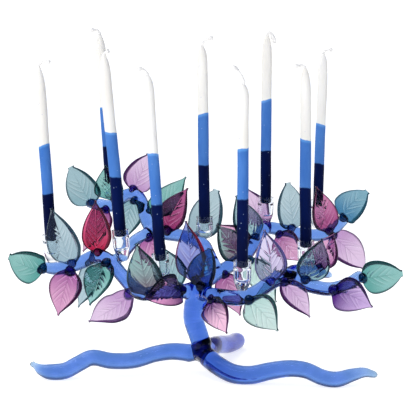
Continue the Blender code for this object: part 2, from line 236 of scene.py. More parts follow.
# Each candle's wax: heights above the rim where the navy and the mid blue end, how much higher the
# white dip line is on the right side than in the middle, the length of the drawn top, and the
# wick's curl from the top of the wax.
WAX = {
    "far_left": (35.5, 77, 1.7, 27, ((0.5, 0, 2), (3, 0, 4), (7, -1, 4.5), (10.5, -1, 3.5))),
    "back_left": (28, 63, 0.0, 20, ((-0.5, 0, 2), (-2, 0, 4), (-5, -1, 4.5), (-8, -1, 5))),
    "mid_left": (44.5, 82, -1.0, 22, ((0.5, 0, 1), (2.5, 0, 2.5), (4.5, -1, 3))),
    "front_left": (40.5, 81.5, -0.7, 17, ((-0.5, 0, 1.5), (-2.5, 0, 4), (-5.5, -1, 5.5), (-8, -1, 4))),
    "middle": (44, 87, 1.3, 15, ((0.3, 0, 2), (2, 0, 4.5), (5.5, -1, 6.5), (9.5, -1, 7.5))),
    "front_right": (48.5, 88, 0.9, 11, ((0, 0, 3), (-1.5, 0, 6.5), (-5, -1, 11), (-9.5, -1, 14.5))),
    "back_right": (41.5, 87, 1.6, 22, ((0.5, 0, 1.5), (2.5, 0, 2.5), (5, -1, -1), (7, -1, -7))),
    "mid_right": (44.5, 84.5, -1.2, 22, ((-0.8, 0, 1.5), (-3, 0, 2.5), (-6, -1, 2), (-9.5, -1, 2))),
    "far_right": (33.5, 69, -1.3, 19, ((0.5, 0, 1.5), (2.5, 0, 3.2), (5.5, -1, 3.6), (8, -2, 4))),
}

# Leaf glass by name: colour of the blade near the stem, towards the tip, and the dark colour used for
# the painted shade in the vein grooves and for the rim, whose darkness is partly the tint of thicker
# glass and partly painted shade.
GLASSES = {
    "green": ((0.10, 0.31, 0.28), (0.23, 0.44, 0.41), (0.006, 0.04, 0.04)),
    "sea": ((0.045, 0.17, 0.30), (0.18, 0.34, 0.41), (0.008, 0.05, 0.08)),
    "teal": ((0.20, 0.34, 0.38), (0.29, 0.42, 0.45), (0.01, 0.04, 0.05)),
    "smoke": ((0.13, 0.09, 0.12), (0.22, 0.35, 0.34), (0.008, 0.03, 0.03)),
    "mint": ((0.38, 0.55, 0.51), (0.51, 0.64, 0.60), (0.015, 0.05, 0.05)),
    "deep_teal": ((0.010, 0.075, 0.32), (0.035, 0.19, 0.41), (0.002, 0.008, 0.02)),
    "pale": ((0.27, 0.38, 0.43), (0.37, 0.48, 0.51), (0.02, 0.05, 0.07)),
    "pink": ((0.28, 0.09, 0.24), (0.56, 0.31, 0.46), (0.04, 0.005, 0.03)),
    "rose": ((0.33, 0.11, 0.29), (0.62, 0.33, 0.49), (0.03, 0.006, 0.03)),
    "lilac": ((0.43, 0.26, 0.46), (0.62, 0.47, 0.62), (0.04, 0.01, 0.06)),
    "magenta": ((0.21, 0.02, 0.09), (0.34, 0.08, 0.20), (0.02, 0.003, 0.015)),
    "wine": ((0.25, 0.035, 0.14), (0.48, 0.17, 0.32), (0.03, 0.003, 0.015)),
    "berry": ((0.08, 0.020, 0.13), (0.78, 0.47, 0.62), (0.02, 0.003, 0.025)),
    "purple": ((0.012, 0.003, 0.07), (0.63, 0.27, 0.48), (0.006, 0.002, 0.025)),
    "violet": ((0.15, 0.17, 0.42), (0.23, 0.27, 0.55), (0.18, 0.006, 0.02)),
    "red": ((0.36, 0.012, 0.050), (0.62, 0.11, 0.23), (0.09, 0.001, 0.010)),
    "clear": ((0.44, 0.38, 0.55), (0.60, 0.54, 0.70), (0.10, 0.08, 0.26)),
    "plum": ((0.08, 0.02, 0.18), (0.54, 0.38, 0.64), (0.03, 0.008, 0.06)),
}

# Colour of the thick knob of each glass, where it meets the branch.
KNOB_COLOURS = {
    "green": (0.006, 0.050, 0.090), "sea": (0.006, 0.045, 0.100), "teal": (0.010, 0.045, 0.120),
    "smoke": (0.006, 0.020, 0.070), "mint": (0.010, 0.070, 0.110), "deep_teal": (0.002, 0.006, 0.040),
    "pale": (0.050, 0.100, 0.220), "pink": (0.030, 0.006, 0.120), "rose": (0.025, 0.006, 0.110),
    "lilac": (0.050, 0.015, 0.200), "magenta": (0.060, 0.004, 0.050), "wine": (0.050, 0.004, 0.060),
    "berry": (0.030, 0.006, 0.120), "purple": (0.008, 0.004, 0.090), "violet": (0.030, 0.015, 0.200),
    "red": (0.480, 0.015, 0.050), "clear": (0.120, 0.110, 0.460), "plum": (0.030, 0.008, 0.160),
}

# Leaf by leaf: its glass, half width, forward curl of the tip, sideways sway, and the side on which
# its rim is heavier and its painted rim shade darker, seen from the front.
LEAVES = {
    "left_end_green": ("green", 14, 2, -2, "up"),
    "left_cup_teal": ("pale", 14, 0, 0, "right"),
    "left_red": ("red", 12.5, 1, 0, "right"),
    "left_low_pink": ("rose", 14, 2, 1, "right"),
    "left_low_green": ("green", 13, 3, 0, "right"),
    "left_low_lilac": ("lilac", 13.5, 2, -1, "down"),
    "back_end_teal": ("teal", 14.5, 0, -1, "right"),
    "back_green": ("green", 13, 0, 0, "right"),
    "back_top_pink": ("lilac", 14, 0, 1, "left"),
    "back_hanging_teal": ("teal", 13.5, 0, 1, "right"),
    "back_up_green": ("green", 12, 1, 2, "right"),
    "back_up_magenta": ("magenta", 12.5, 1, -2, "right"),
    "middle_teal": ("pale", 14.5, 0, -1, "right"),
    "front_clear_green": ("smoke", 14.5, 1, 0, "right"),
    "crown_violet": ("violet", 12.5, 0, 1, "right"),
    "crown_deep_teal": ("deep_teal", 11.5, 1, -1, "right"),
    "front_purple": ("purple", 13, 2, 1, "up"),
    "inner_mint": ("smoke", 13, 0, 1, "left"),
    "right_grey_green": ("teal", 12.5, 0, -2, "left"),
    "right_tall_teal": ("pale", 13, 0, 0, "left"),
    "right_back_pink": ("wine", 12, 0, 1, "left"),
    "right_end_green": ("sea", 14, 0, -2, "right"),
    "right_hanging_lilac": ("lilac", 14, 1, -2, "left"),
    "right_front_green": ("teal", 13, 0, 2, "left"),
    "right_front_pink": ("rose", 13, 0, -1, "right"),
    "right_behind_pink": ("pink", 13, 0, 1, "up"),
    "right_clear_violet": ("clear", 13, 0, 1, "right"),
    "crown_low_pink": ("berry", 11.5, 2, -1, "right"),
    "right_low_mint": ("mint", 14, -1, -1, "right"),
    "right_low_pink": ("lilac", 10, 2, -1, "left"),
    "right_low_purple": ("plum", 14.5, 2, -2, "up"),
    "right_tip_green": ("green", 13.5, 1, 0, "up"),
}

# Leaves pressed rounder than the rest, and leaves with a larger knob of glass at the branch.
ROUND_LEAVES = {
    "left_end_green", "right_tip_green", "right_end_green", "back_top_pink", "right_tall_teal",
    "crown_deep_teal", "back_end_teal", "right_hanging_lilac", "middle_teal",
}
LARGE_KNOBS = {
    "crown_deep_teal", "left_low_pink", "left_low_green", "left_end_green", "left_low_lilac",
    "right_low_purple", "back_up_magenta",
}

# Small leaves mostly hidden behind others: stem end, tip, half width, glass.
BACK_LEAVES = {
    "left_hidden_pink": ((-87, 68, 123), (-107, 60, 86), 12, "pink"),
    "left_hidden_teal": ((-89, 10, 86), (-107, 17, 44), 11, "pale"),
    "inner_pink": ((-45, 24, 103), (-36, 16, 75), 12, "rose"),
    "crown_hidden_teal": ((-20, -40, 75.5), (-31, -26, 104), 12, "teal"),
    "inner_hidden_pink": ((38, 32, 96), (15, 24, 117), 12, "rose"),
    "right_hidden_pink": ((55, 68, 112), (40, 76, 144), 12.5, "lilac"),
    "right_hidden_mint": ((45, 8, 85), (64, -14, 54), 12, "mint"),
    "crown_hidden_rose": ((20, -24, 80), (33, -34, 47), 12, "pink"),
}

# Directions seen from the front, for the side on which a leaf's rim is heavier and its painted rim
# shade darker.
SIDES = {"right": (1, 0, 0), "left": (-1, 0, 0), "up": (0, 0, 1), "down": (0, 0, -1)}

# The studio, in metres. The backdrop is bright round its middle and fades to dark bluish walls
# between two cosines; it also fades between two heights of the view direction.
WORLD_DARK = (0.10, 0.135, 0.23, 1.0)
WORLD_BRIGHT = (1.28, 1.28, 1.28, 1.0)
BACKDROP_WAY = (-0.12, 0.96, 0.1)
BACKDROP_EDGE = (0.22, 0.78)
BACKDROP_TOP = (0.09, 0.42)
BACKDROP_LEFT_ABOVE = 0.25
FLOOR_HALF = 40
FLOOR_DROP = 0.0002
FLOOR_GLOW = 0.78
SUN_POWER = 1.5
SUN_WIDTH = 50
SUN_TILT = (-12, -18, 0)
# Place, the place it shines at, size and power in watts.
FRONT_SOFTBOX = ((-0.9, -1.5, 0.8), (0, 0, 0.12), (0.8, 1.0), 12)
STRIP_LIGHT = ((-0.1, -0.62, 1.0), (0, 0, 0.1), (0.9, 0.07), 1.8)
CAMERA_PLACE = (0.006, -1.011, 0.253)
CAMERA_LENS = 103.85
CAMERA_DOWN = 6.75
LIGHT_BOUNCES = 24


# ---------------------------------------------------------------- small helpers

def new_object(name, mesh, body, material):
    """A smooth shaded piece of the object in its material, riding on a body."""
    thing = bpy.data.objects.new(name, mesh)
    bpy.context.scene.collection.objects.link(thing)
    mesh.materials.append(material)
    mesh.shade_smooth()
    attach(thing, body)
    return thing


def mesh_from(name, vertices, faces):
    """A mesh in metres from vertices in millimetres, with every face turned outwards."""
    mesh = bpy.data.meshes.new(name)
    mesh.from_pydata(np.array([tuple(v) for v in vertices]) * MM, [], faces)
    work = bmesh.new()
    work.from_mesh(mesh)
    bmesh.ops.recalc_face_normals(work, faces=work.faces)
    work.to_mesh(mesh)
    work.free()
    return mesh


def add_values(mesh, name, values):
    """One number for each vertex, for a material to read."""
    layer = mesh.attributes.new(name, "FLOAT", "POINT")
    layer.data.foreach_set("value", np.asarray(values, dtype=np.float32).ravel())


def smooth_step(low, high, x):
    """0 at low, 1 at high and smooth between; low may be the larger one."""
    t = np.clip((np.asarray(x, dtype=float) - low) / (high - low), 0.0, 1.0)
    return t * t * (3 - 2 * t)


def smooth_route(points, steps):
    """Points along a smooth curve through a few route points."""
    route = [Vector(p) for p in points]
    padded = [2 * route[0] - route[1]] + route + [2 * route[-1] - route[-2]]
    places = []
    for i in range(len(route) - 1):
        a, b, c, d = padded[i:i + 4]
        for step in range(steps):
            t = step / steps
            curve = 2 * b + (c - a) * t + (2 * a - 5 * b + 4 * c - d) * t * t
            curve += (3 * b - a - 3 * c + d) * t ** 3
            places.append(curve / 2)
    places.append(route[-1])
    return places


def smooth_table(points, x):
    """A smooth curve through (x, y) points, read at each x."""
    route = smooth_route([(a, b, 0) for a, b in points], 12)
    table = np.array([tuple(place)[:2] for place in route])
    return np.interp(x, table[:, 0], table[:, 1])


def ring_frames(places):
    """A pair of directions square to the path at each place, turning as little as possible."""
    frames = []
    side = None
    for i in range(len(places)):
        along = (places[min(i + 1, len(places) - 1)] - places[max(i - 1, 0)]).normalized()
        if side is None:
            side = along.orthogonal().normalized()
        side = (side - along * side.dot(along)).normalized()
        frames.append((side, along.cross(side)))
    return frames


def skin(ring_count, sides):
    """Faces that join rings of vertices into a closed skin with a cap at each end."""
    faces = []
    for i in range(ring_count - 1):
        for k in range(sides):
            a = i * sides + k
            b = i * sides + (k + 1) % sides
            faces.append((a, b, b + sides, a + sides))
    faces.append(tuple(reversed(range(sides))))
    faces.append(tuple((ring_count - 1) * sides + k for k in range(sides)))
    return faces


def name_seed(name):
    """A number that is always the same for a name."""
    return sum(ord(letter) for letter in name)


def turned(profile, segments):
    """Vertices and faces of a solid of revolution about Z, from axis to axis."""
    vertices = [(0, 0, profile[0][1])]
    for radius, height in profile[1:-1]:
        for k in range(segments):
            angle = 2 * math.pi * k / segments
            vertices.append((radius * math.cos(angle), radius * math.sin(angle), height))
    vertices.append((0, 0, profile[-1][1]))
    rows = len(profile) - 2
    last = len(vertices) - 1
    faces = []
    for k in range(segments):
        j = (k + 1) % segments
        faces.append((0, 1 + j, 1 + k))
        faces.append((last, last - segments + k, last - segments + j))
        for row in range(rows - 1):
            a = 1 + row * segments + k
            b = 1 + row * segments + j
            faces.append((a, b, b + segments, a + segments))
    return vertices, faces


# ---------------------------------------------------------------- materials

def set_ramp(node, low, high, to_low, to_high):
    """Let a Map Range node run smoothly from to_low at low to to_high at high."""
    node.interpolation_type = "SMOOTHSTEP"
    ends = {"From Min": low, "From Max": high, "To Min": to_low, "To Max": to_high}
    for key, value in ends.items():
        node.inputs[key].default_value = value


class Nodes:
    """A short way to write a material's node tree around its Principled shader."""

    def __init__(self, name):
        self.material = bpy.data.materials.new(name)
        self.material.use_nodes = True
        self.tree = self.material.node_tree
        self.shader = self.tree.nodes["Principled BSDF"]
        self.output = self.tree.nodes["Material Output"]

    def add(self, kind, **values):
        node = self.tree.nodes.new(kind)
        for key, value in values.items():
            setattr(node, key, value)
        return node

    def link(self, out, into):
        self.tree.links.new(out, into)

    def attribute(self, name):
        return self.add("ShaderNodeAttribute", attribute_name=name).outputs["Fac"]

    def noise(self, scale, detail=2.0, stretch=None):
        texture = self.add("ShaderNodeTexNoise")
        texture.inputs["Scale"].default_value = scale
        texture.inputs["Detail"].default_value = detail
        place = self.add("ShaderNodeTexCoord").outputs["Object"]
        if stretch:
            mapping = self.add("ShaderNodeMapping")
            mapping.inputs["Scale"].default_value = stretch
            self.link(place, mapping.inputs["Vector"])
            place = mapping.outputs["Vector"]
        self.link(place, texture.inputs["Vector"])
        return texture.outputs["Fac"]

    def ramp(self, factor, low, high, to_low=0.0, to_high=1.0):
        node = self.add("ShaderNodeMapRange")
        set_ramp(node, low, high, to_low, to_high)
        self.link(factor, node.inputs["Value"])
        return node.outputs["Result"]

    def mix(self, factor, first, second):
        node = self.add("ShaderNodeMix", data_type="RGBA")
        self.link(factor, node.inputs["Factor"])
        for socket, value in (("A", first), ("B", second)):
            target = [s for s in node.inputs if s.name == socket and s.type == "RGBA"][0]
            if isinstance(value, tuple):
                target.default_value = (*value, 1.0)
            else:
                self.link(value, target)
        return [s for s in node.outputs if s.type == "RGBA"][0]

    def colour(self, source):
        self.link(source, self.shader.inputs["Base Color"])

    def bump(self, height, strength, distance):
        node = self.add("ShaderNodeBump")
        node.inputs["Strength"].default_value = strength
        node.inputs["Distance"].default_value = distance
        self.link(height, node.inputs["Height"])
        self.link(node.outputs["Normal"], self.shader.inputs["Normal"])

    def gloss(self, roughness, specular):
        self.shader.inputs["Roughness"].default_value = roughness
        self.shader.inputs["Specular IOR Level"].default_value = specular

    def glass(self, ior, specular):
        self.gloss(0.0, specular)
        self.shader.inputs["Specular Tint"].default_value = GLASS_SHEEN
        self.shader.inputs["Transmission Weight"].default_value = 1.0
        self.shader.inputs["IOR"].default_value = ior

    def absorb(self, colour, density):
        volume = self.add("ShaderNodeVolumeAbsorption")
        volume.inputs["Color"].default_value = (*colour, 1.0)
        volume.inputs["Density"].default_value = density
        self.link(volume.outputs["Volume"], self.output.inputs["Volume"])


def blue_glass():
    """Cobalt glass that darkens with depth, with faint drawn streaks."""
    made = Nodes("blue_glass")
    made.glass(1.47, 0.14)
    streaks = made.ramp(made.noise(70, 3.0, (1.0, 1.0, 2.5)), 0.35, 0.7)
    plain = made.mix(streaks, *BLUE_STREAKS)
    # Painted shade: the low root towards the back is coloured a darker blue.
    made.colour(made.mix(made.attribute("deep"), plain, BLUE_PAINTED_SHADE))
    made.absorb(BLUE_PASSES, BLUE_DENSITY)
    made.bump(made.noise(45, 1.0), 0.2, 0.0008)
    return made.material


def clear_glass():
    """Clear cup glass with faint ripples from the flame."""
    made = Nodes("clear_glass")
    made.glass(CUP_IOR, 0.08)
    made.colour(made.mix(made.ramp(made.noise(80), 0.3, 0.7), *CUP_CLOUDS))
    made.bump(made.noise(90, 1.0), 0.15, 0.0003)
    return made.material


def leaf_glass(name, near_stem, near_tip, dark):
    """Tinted leaf glass: denser at the stem and in the rolled rim, with painted shade in the pressed
    veins and along the rim, and painted highlight on the vein ridges.
    """
    made = Nodes("leaf_glass_" + name)
    made.glass(1.5, 0.10)
    fade = made.ramp(made.attribute("from_stem"), 0.06, 0.72)
    blade = made.mix(fade, near_stem, near_tip)
    cloud = made.ramp(made.noise(45, 3.0), 0.42, 0.7, 0.0, 0.3)
    blade = made.mix(cloud, blade, near_stem)
    # Painted shade: the vein grooves are coloured darker.
    vein_shade_colour = tuple(0.45 * a + 0.55 * b for a, b in zip(near_stem, dark))
    veined = made.mix(made.attribute("vein"), blade, vein_shade_colour)
    # Painted highlight: the ridges beside the veins are coloured lighter.
    light = tuple(0.35 + 0.65 * a for a in near_tip)
    veined = made.mix(made.attribute("painted_highlight"), veined, light)
    # The rim is coloured darker: the tint of its thicker glass, with painted shade along the edge.
    rimmed = made.mix(made.attribute("rim"), veined, dark)
    made.colour(made.mix(made.attribute("knob"), rimmed, KNOB_COLOURS[name]))
    made.bump(made.noise(40, 1.0), 0.12, 0.0004)
    return made.material


def candle_wax():
    """Three dips of wax, navy to white, with a wavering line where each dip ended, and specks."""
    made = Nodes("candle_wax")
    wobble = made.ramp(made.noise(120), 0.3, 0.7, -0.5, 0.5)
    levels = []
    for name in ("above_navy", "above_blue"):
        level = made.add("ShaderNodeMath", operation="ADD")
        made.link(made.attribute(name), level.inputs[0])
        made.link(wobble, level.inputs[1])
        levels.append(level.outputs["Value"])
    cloud = made.ramp(made.noise(60, 4.0, (1, 1, 0.4)), 0.35, 0.7)
    wax = {name: made.mix(cloud, *pair) for name, pair in WAX_COLOURS.items()}
    specks = made.add("ShaderNodeTexVoronoi")
    specks.inputs["Scale"].default_value = 190
    made.link(made.add("ShaderNodeTexCoord").outputs["Object"], specks.inputs["Vector"])
    pale_specks = made.ramp(specks.outputs["Distance"], 0.055, 0.10, 0.5, 0.0)
    blue_specks = made.ramp(specks.outputs["Distance"], 0.03, 0.06, 0.8, 0.0)
    blue = made.mix(made.ramp(levels[1], -3.0, -0.6), wax["blue"], wax["fringe"])
    dips = made.mix(made.ramp(levels[0], -0.9, 0.6), wax["navy"], blue)
    dips = made.mix(pale_specks, dips, SPECK_PALE)
    white = made.mix(blue_specks, wax["white"], SPECK_BLUE)
    made.colour(made.mix(made.ramp(levels[1], -0.3, 0.3), dips, white))
    made.gloss(0.5, 0.05)
    made.shader.inputs["Subsurface Weight"].default_value = 0.10
    made.shader.inputs["Subsurface Radius"].default_value = (0.004, 0.004, 0.005)
    made.shader.inputs["Subsurface Scale"].default_value = 0.4
    made.bump(made.noise(150, 3.0, (1, 1, 0.5)), 0.25, 0.0006)
    return made.material


def wick_cotton():
    """Cotton dipped in wax: off-white with fine fibres."""
    made = Nodes("wick_cotton")
    fibres = made.ramp(made.noise(700, 3.0), 0.35, 0.65)
    made.colour(made.mix(fibres, *WICK_COLOURS))
    made.gloss(0.6, 0.25)
    made.bump(made.noise(900), 0.4, 0.0003)
    return made.material


# ---------------------------------------------------------------- the glass tree

def add_ball(work, centre, radius):
    place = Matrix.Translation(Vector(centre) * MM)
    bmesh.ops.create_icosphere(work, subdivisions=3, radius=radius * MM, matrix=place)


def add_bridge(work, start, end, radius):
    """A rounded rod of weld glass between two places, as a row of balls."""
    start, end = Vector(start), Vector(end)
    steps = max(2, round((end - start).length / (0.35 * radius)))
    for step in range(steps + 1):
        add_ball(work, start.lerp(end, step / steps), radius)


def add_rod(work, route):
    """A drawn rod swept along its route."""
    centres = smooth_route([place[:3] for place in route], ROD_STEPS)
    sizes = smooth_route([(place[3], 0, 0) for place in route], ROD_STEPS)
    radii = [max(size.x, ROD_THINNEST) for size in sizes]
    frames = ring_frames(centres)
    rings = []
    for centre, radius, (side, other) in zip(centres, radii, frames):
        ring = []
        for k in range(ROD_SIDES):
            angle = 2 * math.pi * k / ROD_SIDES
            spot = centre + radius * (math.cos(angle) * side + math.sin(angle) * other)
            ring.append(work.verts.new(spot * MM))
        rings.append(ring)
    for low, high in zip(rings, rings[1:]):
        for k in range(ROD_SIDES):
            j = (k + 1) % ROD_SIDES
            work.faces.new((low[k], low[j], high[j], high[k]))
    work.faces.new(rings[0][::-1])
    work.faces.new(rings[-1])


def rough_rods():
    """A mesh of all the rods, a ball at the far end of each, and the bridges between them."""
    work = bmesh.new()
    for route in RODS.values():
        add_rod(work, route)
        *end, radius = route[-1]
        add_ball(work, end, radius)
    for start, end, radius in WELDS:
        add_bridge(work, start, end, radius)
    rough = bpy.data.meshes.new("tree_rough")
    work.to_mesh(rough)
    work.free()
    return rough


def build_tree(material):
    """All the blue rods and their welds as one smooth skin."""
    shell = bpy.data.objects.new("tree_shell", rough_rods())
    bpy.context.scene.collection.objects.link(shell)
    remesh = shell.modifiers.new("fuse", "REMESH")
    remesh.mode = "VOXEL"
    remesh.voxel_size = TREE_VOXEL * MM
    smooth = shell.modifiers.new("fire_polish", "SMOOTH")
    smooth.factor = 0.5
    smooth.iterations = TREE_SMOOTHING
    swell = shell.modifiers.new("swell", "DISPLACE")
    swell.strength = TREE_SWELL * MM
    swell.mid_level = 0.0
    fused = shell.evaluated_get(bpy.context.evaluated_depsgraph_get())
    baked = bpy.data.meshes.new_from_object(fused)
    bpy.data.objects.remove(shell)
    for vertex in baked.vertices:
        vertex.co.z = max(vertex.co.z, 0.0)
    baked.materials.clear()
    spots = np.array([vertex.co for vertex in baked.vertices]) / MM
    # Where the painted shade goes: growing towards the back, low down only.
    add_values(baked, "deep", smooth_step(*PAINTED_SHADE_BETWEEN, spots[:, 1]) * (spots[:, 2] < PAINTED_SHADE_BELOW))
    tree = new_object("glass_tree", baked, "root", material)
    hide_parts(*RODS)
    return tree


# ---------------------------------------------------------------- cups and candles

def light_place(rim, lean):
    """The frame of a light: origin at the cup's rim, Z along the candle, in metres."""
    right, back = (math.radians(angle) for angle in lean)
    turn = Matrix.Rotation(right, 4, "Y") @ Matrix.Rotation(-back, 4, "X")
    return Matrix.Translation(Vector(rim) * MM) @ turn


def rounded(profile, steps=4):
    """The profile with each inner corner cut by a short curve."""
    result = [profile[0]]
    for i in range(1, len(profile) - 1):
        before, corner, after = (Vector((*profile[i + d], 0)) for d in (-1, 0, 1))
        reach = min((before - corner).length, (after - corner).length) * 0.45
        start = corner + (before - corner).normalized() * reach
        end = corner + (after - corner).normalized() * reach
        for step in range(steps + 1):
            t = step / steps
            point = start * (1 - t) ** 2 + corner * 2 * t * (1 - t) + end * t * t
            result.append((point.x, point.y))
    result.append(profile[-1])
    return result


def cup_profile(height):
    """Half section of a cup, rim at height 0, drawn a little into the branch below it."""
    floor = -min(height, CUP_BODY)
    foot = -height - CUP_INTO_BRANCH
    return [
        (0, foot),
        (4.0, foot),
        (4.6, (foot + floor) / 2),
        (5.9, floor + 0.9),
        (CUP_OUTER, floor + 5.2),
        (CUP_OUTER, -1.0),
        (CUP_OUTER, -0.1),
        (CUP_BORE + 0.1, -0.1),
        (CUP_BORE, -1.2),
        (CUP_BORE - 0.1, -CUP_SEAT + 0.6),
        (CUP_WELL + 0.1, -CUP_SEAT - 1.6),
        (CUP_WELL, floor + 5.2),
        (3.0, floor + 3.5),
        (0, floor + 3.0),
    ]


def build_cup(name, place, height, material):
    vertices, faces = turned(rounded(cup_profile(height)), CUP_SEGMENTS)
    mesh = mesh_from("cup_glass_" + name, vertices, faces)
    mesh.transform(place)
    cup = new_object("clear_cup_" + name, mesh, "root", material)
    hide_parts("cup_" + name)


def candle_radius(height, length, radius, navy, blue, drawn):
    """The candle's radius at a height above the rim: each dip adds some, and the top is drawn thin."""
    size = radius - DIPS_TOTAL + NAVY_DIP * smooth_step(navy + 0.5, navy - 0.5, height)
    size -= WHITE_DIP * smooth_step(blue - 0.5, blue + 0.5, height)
    if height < FOOT_HEIGHT - CANDLE_SINK:
        size -= FOOT_CUT * (1 - (height + CANDLE_SINK) / FOOT_HEIGHT) ** 2
    share = (height - length + drawn) / drawn
    if share > 0:
        size *= smooth_table(DRAWN_NECK, share)
    return max(size, WICK_RADIUS)


def build_candle(name, place, length, radius, wax, cotton):
    """A dipped candle: a slightly bent and dented shaft, with its height above each dip line."""
    navy, blue, slant, drawn, curl = WAX[name]
    seed = name_seed(name)
    vertices = []
    above_navy = []
    above_blue = []
    for ring in range(CANDLE_RINGS + 1):
        height = -CANDLE_SINK + (length + CANDLE_SINK) * ring / CANDLE_RINGS
        size = candle_radius(height, length, radius, navy, blue, drawn)
        bend = CANDLE_BEND * noise.noise(Vector((seed, 0, height * 0.014)))
        bend *= smooth_step(0, 60, height)
        for k in range(CANDLE_SEGMENTS):
            angle = 2 * math.pi * k / CANDLE_SEGMENTS
            right, back = math.cos(angle), math.sin(angle)
            dent = noise.noise(Vector((right * 0.6, back * 0.6 + seed, height * 0.07)))
            reach = min(size * (1 + 0.03 * dent), radius)
            x = reach * right
            y = reach * back
            vertices.append((x + bend, y, height))
            above_navy.append(height - navy - 0.3 * slant * x / radius)
            above_blue.append(height - blue - slant * x / radius)
    mesh = mesh_from("wax_" + name, vertices, skin(CANDLE_RINGS + 1, CANDLE_SEGMENTS))
    add_values(mesh, "above_navy", above_navy)
    add_values(mesh, "above_blue", above_blue)
    mesh.transform(place)
    candle = new_object("dipped_candle_" + name, mesh, "candle_" + name, wax)
    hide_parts("candle_" + name)
    build_wick(name, place, length, curl, cotton)


def build_wick(name, place, length, curl, cotton):
    """The waxed wick: bent over above the wax, with a soft lump of wax at its end."""
    top = Vector((0, 0, length))
    points = [top - Vector((0, 0, 3)), top] + [top + Vector(step) for step in curl]
    places = smooth_route(points, 10)
    frames = ring_frames(places)
    seed = name_seed(name)
    last = len(places) - 1
    vertices = []
    for i, (spot, (side, other)) in enumerate(zip(places, frames)):
        share = i / last
        size = WICK_RADIUS * (1 - 0.12 * math.sin(share * math.pi))
        size += WICK_LUMP * math.exp(-((share - 0.9) / 0.12) ** 2)
        if share > 0.93:
            size *= math.sqrt(max(1 - ((share - 0.93) / 0.075) ** 2, 0.04))
        for k in range(WICK_SIDES):
            angle = 2 * math.pi * k / WICK_SIDES
            twist = 0.07 * math.cos(3 * angle + i * 0.5)
            lump = 0.16 * noise.noise(Vector((seed + math.cos(angle), math.sin(angle), i * 0.12)))
            reach = size * (1 + twist + lump)
            vertices.append(spot + reach * (math.cos(angle) * side + math.sin(angle) * other))
    mesh = mesh_from("wick_" + name, vertices, skin(len(places), WICK_SIDES))
    mesh.transform(place)
    new_object("wick_" + name, mesh, "candle_" + name, cotton)


def build_lights(cup_glass, wax, cotton):
    for name, (rim, height, lean, length, radius) in LIGHTS.items():
        place = light_place(rim, lean)
        build_cup(name, place, height, cup_glass)
        build_candle(name, place, length, radius, wax, cotton)


# ---------------------------------------------------------------- leaves

def leaf_frame(node):
    """Stem end, step from there to the tip, and forward face of a leaf, from its CAD solid.

    The stem is the end that is thinner across its face.
    """
    places = np.array([tuple(vertex.co / MM) for vertex in node.data.vertices])
    places = np.unique(places.round(3), axis=0)
    middle = places.mean(axis=0)
    ways = np.linalg.eigh(np.cov((places - middle).T))[1]
    along = ways[:, 2]
    face = ways[:, 0]
    heights = (places - middle) @ along
    lifts = (places - middle) @ face
    low = lifts[heights < heights.min() + 1.0]
    high = lifts[heights > heights.max() - 1.0]
    if np.ptp(low) < np.ptp(high):
        along = -along
        heights = -heights
    if face[1] > 0:
        face = -face
    stem = Vector(places[heights < heights.min() + 0.7].mean(axis=0))
    tip = Vector(places[heights > heights.max() - 0.7].mean(axis=0))
    return stem, tip - stem, Vector(face)


def pick(chance, least, spread):
    return least + spread * chance.random()


def vein_field(x, y, blade, half_width, chance):
    """Depth of the pressed veins over the blade, painted shade in their grooves and painted highlight
    on their ridges.

    A midrib runs to the tip; side veins leave it at a slant and curve towards the tip, fading out
    before the rim. Each side vein has a ridge of pushed-up glass along its upper side.
    """
    share = y / blade
    along_fade = smooth_step(0.92, 0.55, share) * smooth_step(0.0, 0.08, share)
    midrib = np.exp(-(x / VEIN_WIDTH) ** 2) * smooth_step(0.9, 0.5, share)
    depth = 0.7 * midrib
    # Painted shade along the midrib groove.
    groove_shade = 0.6 * midrib
    painted_highlights = np.zeros_like(midrib)
    reach = np.abs(x)
    for side in (-1, 1):
        start = pick(chance, *VEIN_FIRST)
        while start < blade * 0.6:
            slope = pick(chance, *VEIN_SLOPE)
            bow = pick(chance, *VEIN_BOW)
            strength = pick(chance, *VEIN_STRENGTH)
            ends = half_width * pick(chance, *VEIN_REACH)
            offset = y - start - slope * reach - bow * reach ** 2
            offset = offset / np.hypot(1, slope + 2 * bow * reach)
            here = (x * side > 0) * strength * along_fade * smooth_step(ends, 0.5 * ends, reach)
            groove = np.exp(-(offset / VEIN_WIDTH) ** 2)
            ridge = np.exp(-((offset - 1.9 * VEIN_WIDTH) / VEIN_WIDTH) ** 2)
            depth = np.maximum(depth, groove * here) - 0.5 * ridge * here
            # Painted shade along each groove and painted highlight along its ridge.
            groove_shade = np.maximum(groove_shade, groove * here)
            painted_highlights = np.maximum(painted_highlights, ridge * here)
            start += pick(chance, *VEIN_GAP)
    return depth, groove_shade, painted_highlights


def leaf_ring_template():
    """Round a leaf's section: share across, out from and up from the rim's middle, and on a face."""
    flat = np.linspace(-1, 1, LEAF_ACROSS + 1)
    level = np.zeros_like(flat)
    turn = np.linspace(math.pi / 2, -math.pi / 2, LEAF_EDGE_STEPS + 2)[1:-1]
    across = np.concatenate([flat, np.ones(len(turn)), flat[::-1], -np.ones(len(turn))])
    out = np.concatenate([level, np.cos(turn), level, -np.cos(turn)])
    up = np.concatenate([level + 1, np.sin(turn), level - 1, -np.sin(turn)])
    on_face = np.concatenate([level + 1, 0 * turn, level + 1, 0 * turn])
    return across, out, up, on_face


